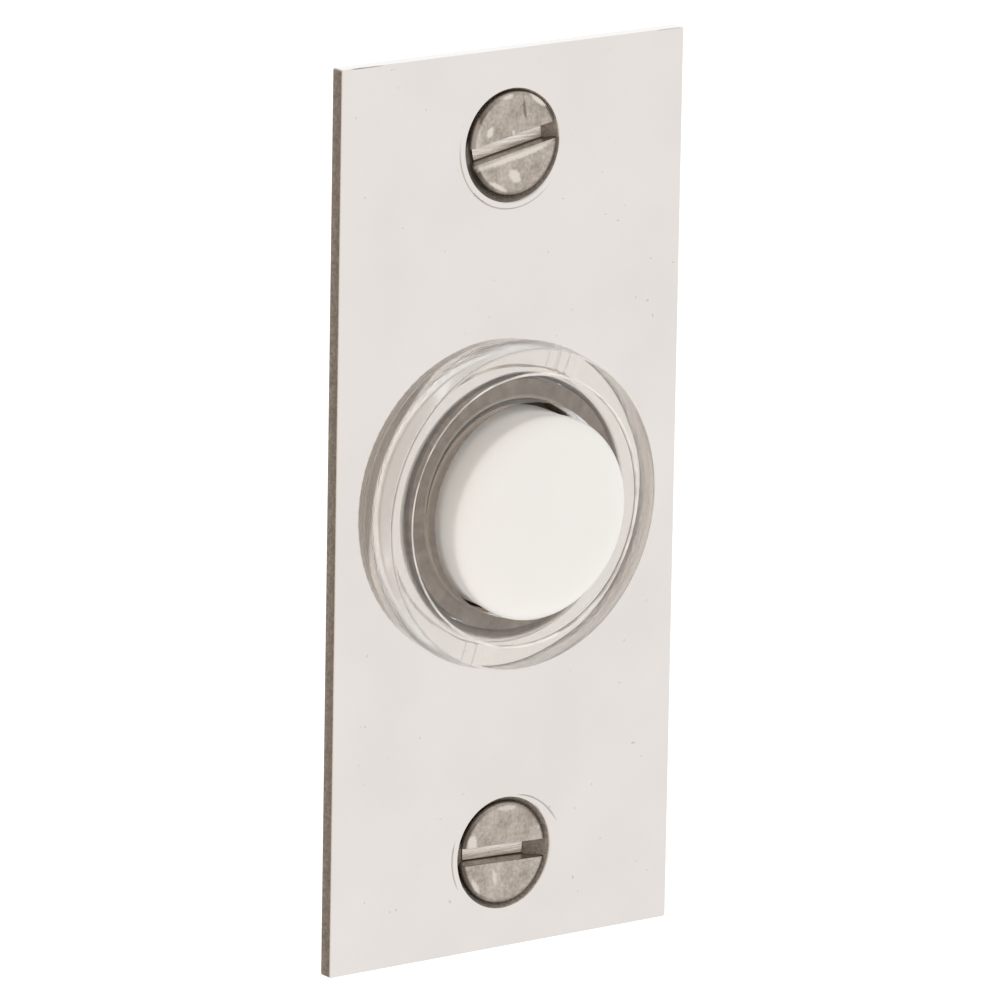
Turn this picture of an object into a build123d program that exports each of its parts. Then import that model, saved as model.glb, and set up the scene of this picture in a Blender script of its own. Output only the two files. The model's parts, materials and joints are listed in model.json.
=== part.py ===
from build123d import *
import math
import os

# Doorbell push: millimetres, Z up, front towards -Y, wall plane at y = 0.

# Plate
plate_width = 31.75
plate_height = 69.85
plate_thickness = 1.2
plate_edge_round = 0.12
plate_hole_roll = 0.5
screw_spacing = 55.0

# Mounting screws
screw_shank_radius = 2.08
screw_head_radius = 3.95
screw_head_land = 0.35
screw_head_edge = 0.25
screw_length = 19.0
screw_point_length = 4.0
screw_slot_width = 1.25
screw_slot_depth = 1.3
screw_head_angle = 82.0
screw_hole_margin = 0.4
screw_seat_gap = 0.02
upper_slot_angle = 7.0
lower_slot_angle = -2.0

# Button and its guide
button_radius = 8.05
button_stand = 5.3
button_shoulder_round = 1.05
button_crown = 0.25
button_wall = 1.2
button_face_thickness = 1.7
button_gap = 0.2
travel = 1.6
skirt_depth = 0.7
skirt_room = 0.2
stem_radius = 2.0
stem_shoulder = 0.5
stem_gap = 0.1
stem_tip_free = 0.8

# Clear ring
ring_rim_margin = 0.55
ring_rim_height = 2.25
ring_edge_height = 2.1
ring_step = 0.07
ring_bevel_width = 2.05
ring_edge_round = 0.2
ring_bore_round = 0.12
bond_gap = 0.02

# Switch housing and barrel
housing_wall = 1.45
housing_gap = 0.2
partition_thickness = 1.05
barrel_radius = 7.94
barrel_wall = 1.0
housing_front_break = 0.05

# Retaining ring
retainer_thickness = 0.4
retainer_width = 2.4
retainer_tooth_count = 12
retainer_slot_width = 0.9
retainer_slot_depth = 1.2
retainer_grip_gap = 0.02
retainer_seat_margin = 0.3

# Return spring
spring_wire_radius = 0.25
spring_clearance = 0.9
spring_coils = 4.1
spring_seat_depth = 0.3
spring_end_gap = 0.02

# Contacts
strip_thickness = 0.3
strip_width = 3.6
bridge_stop_gap = 0.1
bridge_end_gap = 0.3
contact_thickness = 0.5
contact_width = 3.2
contact_clip_gap = 0.6
contact_air_gap = 0.05
contact_wall_gap = 0.35
contact_bend_radius = 0.3
clip_thickness = 0.3
clip_width = 1.0
clip_slot_width = 0.4
clip_grip_gap = 0.02

# Rear cover and terminals
cover_thickness = 1.6
cover_gap = 0.1
stem_room = 1.7
slot_gap = 0.1
terminal_web = 0.69
terminal_screw_radius = 1.25
terminal_screw_length = 2.6
terminal_head_radius = 2.1
terminal_head_height = 1.3
terminal_tab_free = 0.9
terminal_hole_gap = 0.15
terminal_slot_width = 0.6
terminal_slot_depth = 0.7
clamp_thickness = 0.5
clamp_side = 4.4
thread_gap = 0.02

# Cover screws
cover_screw_edge = 1.35
cover_screw_radius = 0.8
cover_screw_length = 4.5
cover_head_radius = 1.3
cover_head_height = 0.8
cover_hole_gap = 0.15
cover_post_wall = 0.9
cover_slot_width = 0.4
cover_slot_depth = 0.4

# Radii that follow from the button and its fits
bore_radius = button_radius + button_gap
housing_radius = bore_radius + housing_wall
plate_hole_radius = housing_radius + housing_gap
ring_rim_radius = plate_hole_radius + ring_rim_margin
ring_radius = ring_rim_radius + ring_bevel_width
retainer_radius = housing_radius + retainer_width
barrel_bore_radius = barrel_radius - barrel_wall
spring_radius = stem_radius + spring_clearance + spring_wire_radius
stem_bore_radius = stem_radius + stem_gap
stem_tip_radius = stem_radius - stem_shoulder
clip_radius = stem_tip_radius + clip_grip_gap + clip_width
cover_post_radius = cover_screw_radius + cover_post_wall

# Levels along the push axis, from the front to the back
plate_front = -plate_thickness
button_front = plate_front - button_stand
button_underside = button_front + button_crown + button_face_thickness
ring_rim = plate_front - ring_rim_height
ring_edge = plate_front - ring_edge_height
ring_flat = ring_rim + ring_step
skirt_end = plate_front + skirt_depth
cavity_floor = skirt_end + travel + skirt_room
partition_back = cavity_floor + partition_thickness
bridge_front = partition_back + bridge_stop_gap
bridge_back = bridge_front + strip_thickness
clip_front = bridge_back + clip_grip_gap
clip_back = clip_front + clip_thickness
stem_end = clip_back + stem_tip_free
contact_front = bridge_back + travel + contact_air_gap
cover_front = stem_end + travel + stem_room
cover_back = cover_front + cover_thickness
tab_back = cover_back + contact_thickness
clamp_back = tab_back + clamp_thickness
cover_screw_tip = cover_back - cover_screw_length

# Distances across the barrel
cover_screw_offset = barrel_bore_radius - cover_screw_edge
contact_outer = barrel_bore_radius - contact_wall_gap
contact_leg_inner = contact_outer - contact_thickness
contact_foot_inner = clip_radius + contact_clip_gap
bridge_half_length = contact_leg_inner - bridge_end_gap
cover_notch_inner = contact_leg_inner - contact_bend_radius - slot_gap
terminal_hole_radius = terminal_screw_radius + terminal_hole_gap
terminal_offset = cover_notch_inner - terminal_web - terminal_hole_radius

# Countersink of the mounting screws
screw_slope = math.tan(math.radians(screw_head_angle / 2))
screw_mouth_radius = screw_head_radius + screw_hole_margin
screw_throat_radius = screw_shank_radius + screw_hole_margin
screw_throat = plate_front + (screw_mouth_radius - screw_throat_radius) / screw_slope


def turned(points, rounds=()):
    """Solid of revolution about the push axis from (radius, y) corners, some of them rounded."""
    profile = make_face(Polyline(*points, close=True))
    for corner, radius in rounds:
        vertex = profile.vertices().sort_by_distance((corner[0], corner[1], 0))[0]
        profile = fillet(vertex, radius)
    return revolve(profile, Axis.Y)


def bar(x_range, y_range, z_range):
    """Box between two limits on each axis."""
    size = [high - low for low, high in (x_range, y_range, z_range)]
    middle = [(high + low) / 2 for low, high in (x_range, y_range, z_range)]
    return Pos(*middle) * Box(*size)


def rod(radius, front, back, x=0, z=0):
    """Cylinder along the push axis between two levels."""
    return Pos(x, 0, z) * turned([(0, front), (radius, front), (radius, back), (0, back)])


def mirrored_pair(piece, plane):
    """A piece and its mirror image, as two solids of one group."""
    return [piece, mirror(piece, about=plane)]


def screw_hole():
    """Countersink and the clearance hole behind it, as a tool to cut with."""
    return turned(
        [
            (0, plate_front - 1),
            (screw_mouth_radius + screw_slope, plate_front - 1),
            (screw_throat_radius, screw_throat),
            (screw_throat_radius, max(screw_throat, 0) + 1),
            (0, max(screw_throat, 0) + 1),
        ]
    )


def screw_seat():
    """Cone pressed out behind the plate where the countersink is deeper than the plate is thick."""
    wall = plate_thickness / math.cos(math.radians(screw_head_angle / 2))
    outer = screw_mouth_radius + wall
    return turned(
        [
            (0, plate_front / 2),
            (outer + screw_slope * plate_front / 2, plate_front / 2),
            (outer + screw_slope * plate_front, 0),
            (screw_throat_radius + wall, screw_throat),
            (0, screw_throat),
        ]
    )


def face_plate():
    """Flat plate with eased edges, the hole for the push, and a seat behind it for the retaining ring."""
    plate = bar(
        (-plate_width / 2, plate_width / 2),
        (plate_front, 0),
        (-plate_height / 2, plate_height / 2),
    )
    plate = fillet(plate.edges(), plate_edge_round)
    plate -= rod(plate_hole_radius, plate_front - 1, 1)
    hole_edges = plate.edges().filter_by(lambda edge: edge.geom_type == GeomType.CIRCLE)
    hole_edges = hole_edges.filter_by(lambda edge: edge.radius > plate_edge_round)
    plate = fillet(hole_edges.sort_by(Axis.Y)[0], plate_hole_roll)
    plate -= rod(retainer_radius + retainer_seat_margin, -retainer_thickness, 1)
    for z in (-screw_spacing / 2, screw_spacing / 2):
        if screw_throat > 0:
            plate += Pos(0, 0, z) * screw_seat()
        plate -= Pos(0, 0, z) * screw_hole()
    return plate


def mounting_screw(slot_angle):
    """Slotted flat-head wood screw with a plain shank, standing at the middle of the plate."""
    land_back = plate_front + screw_hole_margin / screw_slope - screw_seat_gap
    top = land_back - screw_head_land
    neck = land_back + (screw_head_radius - screw_shank_radius) / screw_slope
    tip = top + screw_length
    screw = turned(
        [
            (0, top),
            (screw_head_radius, top),
            (screw_head_radius, land_back),
            (screw_shank_radius, neck),
            (screw_shank_radius, tip - screw_point_length),
            (0, tip),
        ],
        [((screw_head_radius, top), screw_head_edge)],
    )
    slot = bar(
        (-2 * screw_head_radius, 2 * screw_head_radius),
        (top - 1, top + screw_slot_depth),
        (-screw_slot_width / 2, screw_slot_width / 2),
    )
    return screw - Rot(0, -slot_angle, 0) * slot


def mounting_screws():
    """Both plate screws, one above the push and one below."""
    upper = Pos(0, 0, screw_spacing / 2) * mounting_screw(upper_slot_angle)
    lower = Pos(0, 0, -screw_spacing / 2) * mounting_screw(lower_slot_angle)
    return [upper, lower]


def lens_ring():
    """Clear ring: flat back on the plate, bevelled front, a small step down to the bore."""
    edge = (ring_radius, ring_edge)
    bore_edge = (bore_radius, ring_flat)
    return turned(
        [
            (bore_radius, plate_front),
            (ring_radius, plate_front),
            edge,
            (ring_rim_radius, ring_rim),
            (ring_rim_radius - ring_step, ring_flat),
            bore_edge,
        ],
        [(edge, ring_edge_round), (bore_edge, ring_bore_round)],
    )


def push_button():
    """Button cap with crowned face and rounded shoulder, hollow skirt and stepped stem, in one moulding."""
    shoulder = (button_radius, button_front + button_crown)
    crown = ThreePointArc(
        (0, button_front),
        (button_radius / 2, button_front + button_crown / 4),
        shoulder,
    )
    outline = Polyline(
        shoulder,
        (button_radius, skirt_end),
        (button_radius - button_wall, skirt_end),
        (button_radius - button_wall, button_underside),
        (stem_radius, button_underside),
        (stem_radius, bridge_front),
        (stem_tip_radius, bridge_front),
        (stem_tip_radius, stem_end),
        (0, stem_end),
        (0, button_front),
    )
    profile = make_face(crown + outline)
    corner = profile.vertices().sort_by_distance((shoulder[0], shoulder[1], 0))[0]
    return revolve(fillet(corner, button_shoulder_round), Axis.Y)


def switch_housing():
    """Moulding with a wide cup for the skirt, a partition that guides the stem, and a barrel behind."""
    rim = plate_front + bond_gap
    housing = turned(
        [
            (stem_bore_radius, cavity_floor),
            (bore_radius, cavity_floor),
            (bore_radius, rim),
            (housing_radius, rim),
            (housing_radius, partition_back),
            (barrel_radius, partition_back),
            (barrel_radius, cover_back),
            (barrel_bore_radius, cover_back),
            (barrel_bore_radius, partition_back),
            (stem_bore_radius, partition_back),
        ],
        [((bore_radius, rim), housing_front_break)],
    )
    seat_radius = spring_radius + 2 * spring_wire_radius
    housing -= rod(seat_radius, cavity_floor - 1, cavity_floor + spring_seat_depth)
    for side in (-1, 1):
        z = side * cover_screw_offset
        post = rod(cover_post_radius, partition_back - partition_thickness / 2, cover_front, z=z)
        housing += post & rod(barrel_radius, cavity_floor, cover_back)
        housing -= rod(cover_screw_radius + thread_gap, cover_screw_tip - thread_gap, cover_back, z=z)
    return housing


def retaining_ring():
    """Flat push-on ring with a row of inward teeth that grip the housing."""
    inner = housing_radius + retainer_grip_gap
    ring = rod(retainer_radius, -retainer_thickness, 0) - rod(inner, -1, 1)
    slot = bar(
        (inner - 1, inner + retainer_slot_depth),
        (-1, 1),
        (-retainer_slot_width / 2, retainer_slot_width / 2),
    )
    for index in range(retainer_tooth_count):
        ring -= Rot(0, 360 * index / retainer_tooth_count, 0) * slot
    return ring


def return_spring():
    """Coil spring with ends ground flat, between the cap and its seat in the housing."""
    front = button_underside + spring_end_gap
    back = cavity_floor + spring_seat_depth - spring_end_gap
    length = back - front
    coil = Helix(
        pitch=length / spring_coils,
        height=length,
        radius=spring_radius,
        center=(0, front, 0),
        direction=(0, 1, 0),
    )
    section = Plane(origin=coil @ 0, z_dir=coil % 0) * Circle(spring_wire_radius)
    wire = sweep(section, path=coil, is_frenet=True)
    reach = 2 * (spring_radius + spring_wire_radius)
    return wire & bar((-reach, reach), (front, back), (-reach, reach))


def contact_bridge():
    """Springy bar with rounded ends that joins the two contacts when it is pushed back onto them."""
    straight = 2 * bridge_half_length - strip_width
    blank = bar(
        (-straight / 2, straight / 2),
        (bridge_front, bridge_back),
        (-strip_width / 2, strip_width / 2),
    )
    for x in (-straight / 2, straight / 2):
        blank += rod(strip_width / 2, bridge_front, bridge_back, x=x)
    return blank - rod(stem_tip_radius + clip_grip_gap, bridge_front - 1, bridge_back + 1)


def stem_clip():
    """Push-on washer with four teeth that holds the bridge on the stem tip."""
    inner = stem_tip_radius + clip_grip_gap
    clip = rod(clip_radius, clip_front, clip_back) - rod(inner, clip_front - 1, clip_back + 1)
    slot = bar(
        (0, inner + clip_width / 2),
        (clip_front - 1, clip_back + 1),
        (-clip_slot_width / 2, clip_slot_width / 2),
    )
    for angle in (45, 135, 225, 315):
        clip -= Rot(0, angle, 0) * slot
    return clip


def contact_right():
    """Brass strip bent twice: contact foot in the barrel, leg through the cover, terminal tab behind it."""
    half = contact_width / 2
    foot_back = contact_front + contact_thickness
    strip = bar((contact_foot_inner, contact_outer), (contact_front, foot_back), (-half, half))
    strip += bar((contact_leg_inner, contact_outer), (contact_front, tab_back), (-half, half))
    strip += bar((terminal_tab_free, contact_outer), (cover_back, tab_back), (-half, half))
    bends = strip.edges().filter_by(Axis.Z)
    for y in (contact_front, tab_back):
        outer = bends.sort_by_distance((contact_outer, y, 0))[0]
        strip = fillet(outer, contact_bend_radius + contact_thickness)
        bends = strip.edges().filter_by(Axis.Z)
    for y in (foot_back, cover_back):
        inner = bends.sort_by_distance((contact_leg_inner, y, 0))[0]
        strip = fillet(inner, contact_bend_radius)
        bends = strip.edges().filter_by(Axis.Z)
    tapped = rod(terminal_screw_radius + thread_gap, cover_back - 1, tab_back + 1)
    return strip - Pos(terminal_offset, 0, 0) * tapped


def contact_left():
    """The other contact, the mirror image of the right one."""
    return mirror(contact_right(), about=Plane.YZ)


def rear_cover():
    """Disc that closes the barrel, notched for the contact legs and drilled for the screws."""
    cover = rod(barrel_bore_radius - cover_gap, cover_front, cover_back)
    half = contact_width / 2 + slot_gap
    for side in (-1, 1):
        limits = sorted([side * cover_notch_inner, side * 2 * barrel_radius])
        cover -= bar(limits, (cover_front - 1, cover_back + 1), (-half, half))
        terminal_hole = rod(terminal_hole_radius, cover_front - 1, cover_back + 1)
        fixing_hole = rod(cover_screw_radius + cover_hole_gap, cover_front - 1, cover_back + 1)
        cover -= Pos(side * terminal_offset, 0, 0) * terminal_hole
        cover -= Pos(0, 0, side * cover_screw_offset) * fixing_hole
    return cover


def slotted_screw(head_radius, head_height, shank_radius, shank_length, slot_width, slot_depth, seat):
    """Screw with a round slotted head facing the back, its head resting at the given level."""
    head = rod(head_radius, seat, seat + head_height)
    head = chamfer(head.edges().group_by(Axis.Y)[-1], head_height / 5)
    shank = rod(shank_radius, seat - shank_length, seat)
    top = seat + head_height
    slot = bar(
        (-2 * head_radius, 2 * head_radius),
        (top - slot_depth, top + 1),
        (-slot_width / 2, slot_width / 2),
    )
    return head + shank - slot


def cover_screws():
    """Two small screws that hold the cover on its posts."""
    screw = slotted_screw(
        cover_head_radius,
        cover_head_height,
        cover_screw_radius,
        cover_screw_length,
        cover_slot_width,
        cover_slot_depth,
        cover_back,
    )
    return mirrored_pair(Pos(0, 0, cover_screw_offset) * screw, Plane.XY)


def terminal_screws():
    """Two screws the bell wires are clamped under."""
    screw = slotted_screw(
        terminal_head_radius,
        terminal_head_height,
        terminal_screw_radius,
        terminal_screw_length,
        terminal_slot_width,
        terminal_slot_depth,
        clamp_back,
    )
    return mirrored_pair(Pos(terminal_offset, 0, 0) * screw, Plane.YZ)


def terminal_clamps():
    """Two square washers between the terminal screws and the tabs."""
    half = clamp_side / 2
    washer = bar((-half, half), (tab_back, clamp_back), (-half, half))
    washer = fillet(washer.edges().filter_by(Axis.Y), clamp_side / 10)
    washer -= rod(terminal_hole_radius, tab_back - 1, clamp_back + 1)
    return mirrored_pair(Pos(terminal_offset, 0, 0) * washer, Plane.YZ)


def save(name, piece):
    """Write one node, a single piece or a group of separate solids."""
    shape = Compound(children=piece) if isinstance(piece, list) else piece
    export_step(shape, f"parts/{name}.step")


os.makedirs("parts", exist_ok=True)
pieces = (
    face_plate,
    mounting_screws,
    lens_ring,
    push_button,
    switch_housing,
    retaining_ring,
    return_spring,
    contact_bridge,
    stem_clip,
    contact_left,
    contact_right,
    rear_cover,
    cover_screws,
    terminal_screws,
    terminal_clamps,
)
for make_piece in pieces:
    save(make_piece.__name__, make_piece())
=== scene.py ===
import json
import math

import bmesh
import bpy
from mathutils import Matrix, Vector, noise

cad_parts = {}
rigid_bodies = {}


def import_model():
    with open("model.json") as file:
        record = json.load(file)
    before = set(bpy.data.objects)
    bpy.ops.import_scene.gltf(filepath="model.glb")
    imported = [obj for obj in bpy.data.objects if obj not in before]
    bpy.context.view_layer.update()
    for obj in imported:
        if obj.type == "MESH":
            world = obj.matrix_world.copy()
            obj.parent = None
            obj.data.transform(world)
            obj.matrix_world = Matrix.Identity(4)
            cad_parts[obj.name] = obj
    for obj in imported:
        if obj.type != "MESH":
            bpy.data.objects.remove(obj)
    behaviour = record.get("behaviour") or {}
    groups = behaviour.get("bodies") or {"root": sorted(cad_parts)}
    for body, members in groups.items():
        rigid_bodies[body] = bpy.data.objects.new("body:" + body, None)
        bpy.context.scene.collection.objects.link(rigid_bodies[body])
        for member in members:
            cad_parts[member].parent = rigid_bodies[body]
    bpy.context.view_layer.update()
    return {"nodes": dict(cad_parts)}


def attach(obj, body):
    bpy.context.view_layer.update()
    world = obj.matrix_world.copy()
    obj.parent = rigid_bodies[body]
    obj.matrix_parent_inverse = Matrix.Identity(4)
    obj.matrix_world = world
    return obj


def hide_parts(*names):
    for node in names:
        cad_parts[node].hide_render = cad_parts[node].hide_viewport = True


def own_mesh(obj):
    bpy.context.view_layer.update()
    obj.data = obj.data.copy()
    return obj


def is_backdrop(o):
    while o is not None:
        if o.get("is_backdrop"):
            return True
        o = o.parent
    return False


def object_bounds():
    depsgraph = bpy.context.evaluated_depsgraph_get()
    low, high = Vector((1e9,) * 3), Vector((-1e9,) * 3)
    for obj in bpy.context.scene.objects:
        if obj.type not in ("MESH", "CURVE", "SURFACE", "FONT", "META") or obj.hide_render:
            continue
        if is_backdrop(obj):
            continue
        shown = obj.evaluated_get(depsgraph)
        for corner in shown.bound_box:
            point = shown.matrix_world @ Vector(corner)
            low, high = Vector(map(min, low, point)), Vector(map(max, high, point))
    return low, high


# Doorbell push, dressed for its photograph. Sizes are in millimetres, scaled to metres when a mesh is made.
# The front faces -Y, Z is up and the wall is at y = 0, as in the construction model.
MM = 0.001

# Plate
PLATE_WIDTH = 31.75
PLATE_HEIGHT = 69.85
PLATE_FRONT = -1.2
EDGE_ROUND = 0.12
EDGE_PIECES = 60
CORNER_ROUND = 0.2
CORNER_STEPS = 4
HOLE_RADIUS = 9.8
HOLE_ROLL = 0.6
ROLL_RADIUS = 10.5
SEAT_RADIUS = 12.4
SEAT_DEPTH = 0.4

# Wood screws
SCREW_OFFSET = 27.5
SCREW_TOP = -1.11
SCREW_TIP = 17.89
SCREW_LENGTH = SCREW_TIP - SCREW_TOP
HEAD_RADIUS = 4.0
HEAD_EDGE = 0.33
HEAD_LAND = 0.35
HEAD_SLOPE = math.tan(math.radians(45))
HEAD_ROWS = 40
HEAD_FLAT_ROWS = 36
SHANK_RADIUS = 2.08
ROOT_RADIUS = 1.5
THREAD_PITCH = 2.1
THREAD_START = 6.0
THREAD_FLANK = 0.3
THREAD_ROW = 0.09
POINT_LENGTH = 4.0
POINT_CURVE = 0.7
SLOT_OVERRUN = 1.0
BURR_DEPTH = 0.12
BURR_RISE = 0.02
# A slot's faces, told apart by their normals' y and how deep they lie
FLOOR_FACING = -0.9
FLOOR_DEPTH = 0.3
# faces of the slot's filled lower corner, which carry painted shade
SHADED_CORNER_FACING = -0.5
SHADED_CORNER_DEPTHS = (0.5, 2.0)

# Countersinks, pressed through the plate, so that a cone stands out behind it. What is worked out here is
# rounded to a thousandth.
SINK_HALF_ANGLE = math.radians(41)
SINK_SLOPE = math.tan(SINK_HALF_ANGLE)
SHANK_ROOM = 0.4
MOUTH_RADIUS = 4.35
MOUTH_LAND = 0.4
MOUTH_TAPER = 0.15
THROAT_RADIUS = 2.35
THROAT = round(PLATE_FRONT + (MOUTH_RADIUS - SHANK_RADIUS - SHANK_ROOM) / SINK_SLOPE, 3)
PRESSED_WALL = round(-PLATE_FRONT / math.cos(SINK_HALF_ANGLE), 3)
PRESSED_ROOT = round(MOUTH_RADIUS + PRESSED_WALL + SINK_SLOPE * PLATE_FRONT, 3)
PRESSED_END = round(SHANK_RADIUS + SHANK_ROOM + PRESSED_WALL, 3)
# Small bevel of the mouth: distance out and back at each step
MOUTH_BEVEL = ((0.05, 0.006), (0.02, 0.02), (0.0, 0.05))

# Ring, button and spring: levels along the push axis and radii about it
RING_RADIUS = 12.37
RING_FLARE = 0.3
RING_RIM_RADIUS = 10.5
RING_BORE = 8.3
RING_EDGE = -3.36
RING_SHELF = -3.43
RING_RIM = -3.5
RING_FLAT = -3.38
RING_RISE = 0.5
RING_CHAMFER = 0.14
BUTTON_RADIUS = 7.95
BUTTON_FRONT = -6.39
BUTTON_CROWN = 0.35
BUTTON_SHOULDER = 2.1
BUTTON_FALL = 1.1
BUTTON_WALL = 1.2
BUTTON_UNDERSIDE = -4.72
FACE_ROWS = 32
TAPER_START = -4.6
SKIRT_START = -3.2
SKIRT_END = -0.78
SKIRT_RADIUS = 7.81
STEM_RADIUS = 1.75
STEM_TIP_RADIUS = 1.25
STEM_STEP = 2.35
STEM_END = 3.87
HOUSING_BORE = 8.25
SPRING_RADIUS = 3.15
SPRING_WIRE = 0.25
SPRING_FRONT = -4.53
SPRING_BACK = 1.58
SPRING_COILS = 4.1
SPRING_CLOSED = 0.75
SPRING_STEPS = 288
WIRE_SIDES = 12

# Sides round each turned form, and steps through a quarter turn
RING_SIDES = 512
HOLE_SIDES = 256
BUTTON_SIDES = 192
SCREW_SIDES = 160
QUARTER_TURN = [math.pi / 2 * step / 4 for step in range(5)]

# How the pieces sit in the photograph
RING_LIFT = 0.01
RING_ASIDE = 0.05
PUSH_DROP = 0.2
ROLL_ASIDE = -0.1
ROLL_DROP = 0.3
BUTTON_ASIDE = 0.14
BUTTON_DROP = 0.1
BUTTON_LEAN = 2.8
BUTTON_TURN = 0.4
LEAN_CENTRE = 2.8

# Weld lines of the ring
WELD_ANGLES = (66.0, 70.2, 252.0)
WELD_WIDTH = 0.5
WELD_DEPTH = 0.008
WELD_HAZE = 0.26

# Each screw: place of its hole, place of its head, how far the head stands out, slot angle, width and
# depth, width of the burr on the slot's lower lip, and the seed of its unevenness
UPPER = {
    "hole": (-0.05, SCREW_OFFSET),
    "head": (0.15, SCREW_OFFSET + 0.12),
    "lift": 0.15,
    "slot": (10.5, 1.35, 1.12),
    "burr": 0.3,
    "seed": 3.1,
}
LOWER = {
    "hole": (0.28, -SCREW_OFFSET),
    "head": (0.36, -SCREW_OFFSET - 0.04),
    "lift": 0.0,
    "slot": (-2.0, 1.4, 1.53),
    "burr": 0.0,
    "seed": 8.7,
}

# Lips pressed up round the countersinks: start and end angle, and width at each. A lip gains its height
# over one part in LIP_ENDS of its length, and BARE_WIDTH is taken where there is none.
UPPER_LIPS = ((165.0, 320.0, 0.52, 0.46),)
LOWER_LIPS = ((160.0, 210.0, 0.5, 0.5), (18.0, 78.0, 0.88, 0.15))
LIP_HEIGHT = 0.03
LIP_ENDS = 6
BARE_WIDTH = 0.5
# A lip from the outside in: share of its width, and 1 where it is raised or -1 in the crease round it
LIP_PROFILE = ((1.3, 0), (1.2, 0), (1.1, -1), (1.0, -1), (0.9, 1), (0.6, 1), (0.3, 1), (0.12, 1))

# Dirt in the lips' creases; the width of the fill in the slots' lower corners, which is painted dark as
# painted shade; and dirt along the plate's top edge, there with its start, end and strength
CREASE_DIRT = 0.42
SHADED_CORNER_FILL = 0.1
EDGE_DIRT = ((-15.1, -14.1, 0.9), (-13.85, -13.0, 0.7), (-12.75, -12.1, 0.5), (13.2, 15.3, 0.35))

# Marks on the heads: x, z, half length, half width, angle, strength, above nought if bright. The bright
# marks are partly knocks and partly painted highlights where the head's rim and lip catch the light; the
# dark ones are scratches
UPPER_MARKS = (
    (-2.37, 1.08, 0.42, 0.26, 70, 1.0),
    (-0.18, 0.84, 0.2, 0.12, 110, 0.8),
    (0.0, -2.5, 0.6, 0.36, -40, 1.0),
    (-0.74, 3.62, 0.5, 0.14, 12, 0.9),
    (2.07, 3.12, 0.8, 0.2, -35, 1.0),
    (-1.55, -3.15, 0.8, 0.16, -28, 1.0),
    (0.82, 2.6, 0.8, 0.13, -82, -0.75),
    (-0.2, -0.98, 3.1, 0.28, 10.5, 1.0),
    (-3.7, 0.6, 2.4, 0.45, 90, 0.4),
)
LOWER_MARKS = (
    (-3.0, 1.2, 0.5, 0.42, 80, 1.0),
    (0.2, 3.5, 0.7, 0.2, 0, 0.7),
    (-0.85, -1.83, 0.55, 0.2, 100, 0.8),
    (-2.66, -2.27, 0.6, 0.2, 120, 0.8),
    (3.2, 1.54, 0.2, 0.12, 90, 0.5),
)
# How far back marks and unevenness reach, how they spread and fray, and their relief
MARK_LEVEL = 0.4
MARK_SPREAD = 1.25
MARK_EDGE = 2.5
MARK_RAGGED = 0.35
MARK_GRAIN = 4
HEAD_LEVEL = 0.02
HEAD_UNEVEN = 0.015
HEAD_GRAIN = 1.5
KNOCK_RISE = 0.015
SCRATCH_DEPTH = 0.04

# Where a finish starts and where it is full: levels along y, radii, or distances in from an edge or aside
BRUSHED_BACK = (-0.3, -0.1)
CUT_SHADE = (-0.3, PLATE_FRONT)
CUT_SKIN = (0.05, 0.01)
SINK_DIRT = (MOUTH_RADIUS + 0.01, MOUTH_RADIUS - 0.05)
ROLL_DIRT = (11.3, 11.2)
DIRT_FRONT = (PLATE_FRONT + 0.02, PLATE_FRONT + 0.12)
DIRT_BACK = (THROAT - 0.03, THROAT - 0.06)
# grime and painted shade round a screw head's edge, where it meets the countersink
HEAD_GRIME_AND_SHADE = (HEAD_RADIUS - 0.4, HEAD_RADIUS - 0.25)
GRIME_AND_SHADE_ASIDE = (1.5, 3.2)
SHANK_FINISH = (1.2, 2.2)
SCUFF_LEVELS = (RING_RIM + 0.11, RING_RIM + 0.07)
BEVEL_START = (RING_RIM_RADIUS, RING_RIM_RADIUS + 0.1)
RING_WALL = (RING_RADIUS - 0.12, RING_RADIUS - 0.02)
RIM_FACED = (-0.4, -0.7)
# painted light: the housing's bore and the rim's edge beside it are painted pale to lift the shade under
# the ring
BORE_FILL_LIGHT = (HOUSING_BORE + 0.3, HOUSING_BORE + 0.05)
BORE_BACK = (1.4, 1.2)

# Limits of the finishes that lie in a band, and the width over which they fade
# levels of the band of grime and painted shade round a screw head
GRIME_AND_SHADE_LEVELS = (-0.2, 1.2)
GRIME_AND_SHADE_SOFT = 0.1
SCUFF_RADII = (RING_RIM_RADIUS - 0.2, RING_RIM_RADIUS + 0.12)
SCUFF_SOFT = 0.06

# Camera, fitted to the plate's corners and holes in the photograph
CAMERA_AZIMUTH = -36.578
CAMERA_ELEVATION = 13.707
CAMERA_ROLL = 0.9986
CAMERA_DISTANCE = 819.36
CAMERA_LENS = 390.9
CAMERA_SENSOR = 36.0
CAMERA_ASIDE = (-0.531, 0.152)

# Studio
FLOOR_DROP = 90.0
FLOOR_REACH = 4000.0
DARK_SIDE = (-0.58, 0.78, -0.24)


def add(tree, kind, inputs=None, **settings):
    """New shader node, its inputs set to values or linked to other nodes' outputs."""
    node = tree.nodes.new(kind)
    for key, value in settings.items():
        setattr(node, key, value)
    for key, value in (inputs or {}).items():
        if isinstance(value, bpy.types.NodeSocket):
            tree.links.new(value, node.inputs[key])
        else:
            node.inputs[key].default_value = value
    return node


def new_material(name, **constants):
    """Material with its main shader, whose plain sockets are set by name."""
    material = bpy.data.materials.new(name)
    material.use_nodes = True
    tree = material.node_tree
    shader = tree.nodes["Principled BSDF"]
    for key, value in constants.items():
        shader.inputs[key.replace("_", " ")].default_value = value
    return material, tree, shader


def connect(tree, shader, **links):
    """Link outputs to the shader's sockets."""
    for key, output in links.items():
        tree.links.new(output, shader.inputs[key.replace("_", " ")])


def place(tree):
    """Position on the piece, in metres."""
    return add(tree, "ShaderNodeTexCoord").outputs["Object"]


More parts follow.
